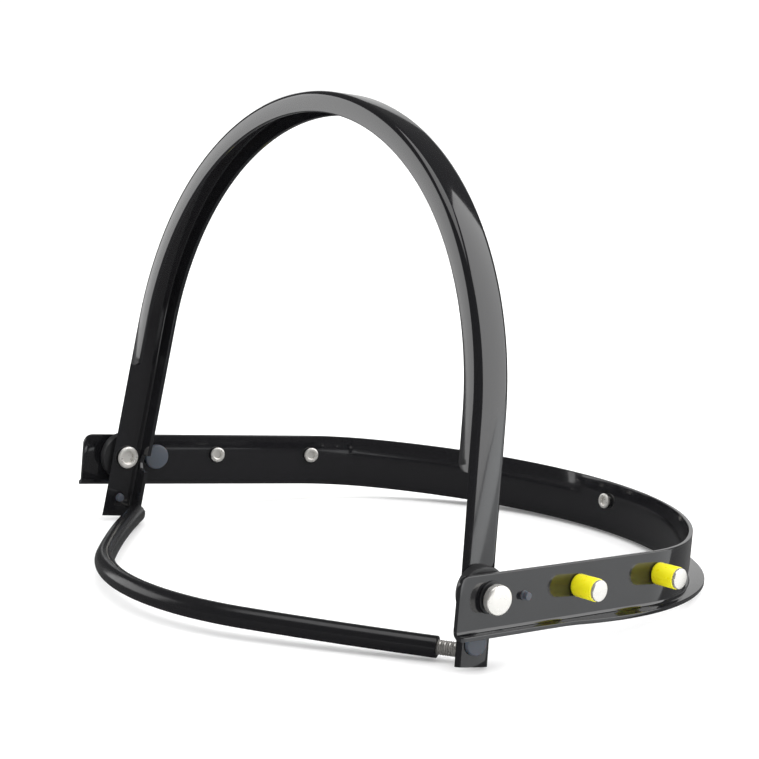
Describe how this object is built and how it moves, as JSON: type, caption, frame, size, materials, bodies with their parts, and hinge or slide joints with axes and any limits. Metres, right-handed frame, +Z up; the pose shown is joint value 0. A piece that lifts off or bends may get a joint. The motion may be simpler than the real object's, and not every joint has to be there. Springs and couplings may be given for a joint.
{
  "type": "face shield bracket",
  "caption": "Hard hat face shield bracket: a channel arch over the crown, a visor band hinged to it at the ears with studs for the visor, and a sprung rear retaining bow.",
  "frame": {"origin": "middle of the footprint, on the surface that the bracket stands on", "axes": "+X to the wearer's right, +Y forward, +Z up; the band slopes down to the front because the bracket stands on its legs and the front lip"},
  "size_m": [0.2506, 0.2214, 0.1728],
  "materials": {
    "black_paint": "gloss",
    "bright_nickel": "satin",
    "black_plastic": "satin",
    "milky_nylon": "satin",
    "yellow_plastic": "gloss",
    "spring_steel": "satin",
    "black_tube": "gloss"
  },
  "bodies": {
    "arch": {"helmet_arch": "black_paint", "hinge_rivet_right": "bright_nickel", "hinge_rivet_left": "bright_nickel", "friction_disc_right": "black_plastic", "friction_disc_left": "black_plastic", "leg_button_right": "milky_nylon", "leg_button_left": "milky_nylon"},
    "band": {"visor_band": "black_paint", "band_button_right": "milky_nylon", "band_button_left": "milky_nylon", "stud_sleeve_front": "yellow_plastic", "stud_sleeve_fore_right": "yellow_plastic", "stud_sleeve_fore_left": "yellow_plastic", "stud_sleeve_rear_right": "yellow_plastic", "stud_sleeve_rear_left": "yellow_plastic", "stud_rivet_front": "bright_nickel", "stud_rivet_fore_right": "bright_nickel", "stud_rivet_fore_left": "bright_nickel", "stud_rivet_rear_right": "bright_nickel", "stud_rivet_rear_left": "bright_nickel", "hinge_spacer_right": "black_plastic", "hinge_spacer_left": "black_plastic", "hinge_washer_right": "black_plastic", "hinge_washer_left": "black_plastic"},
    "bow": {"bow_spring": "spring_steel", "bow_tube": "black_tube"}
  },
  "joints": [
    {"name": "visor_hinge", "type": "hinge", "parent": "arch", "child": "band", "pos_m": [0, -0.04805, 0.02507], "axis": [1, 0, 0], "range_deg": [-30, 75]},
    {"name": "bow_hinge", "type": "hinge", "parent": "arch", "child": "bow", "pos_m": [0, -0.04482, 0.00388], "axis": [1, 0, 0], "range_deg": [-25, 25]}
  ]
}
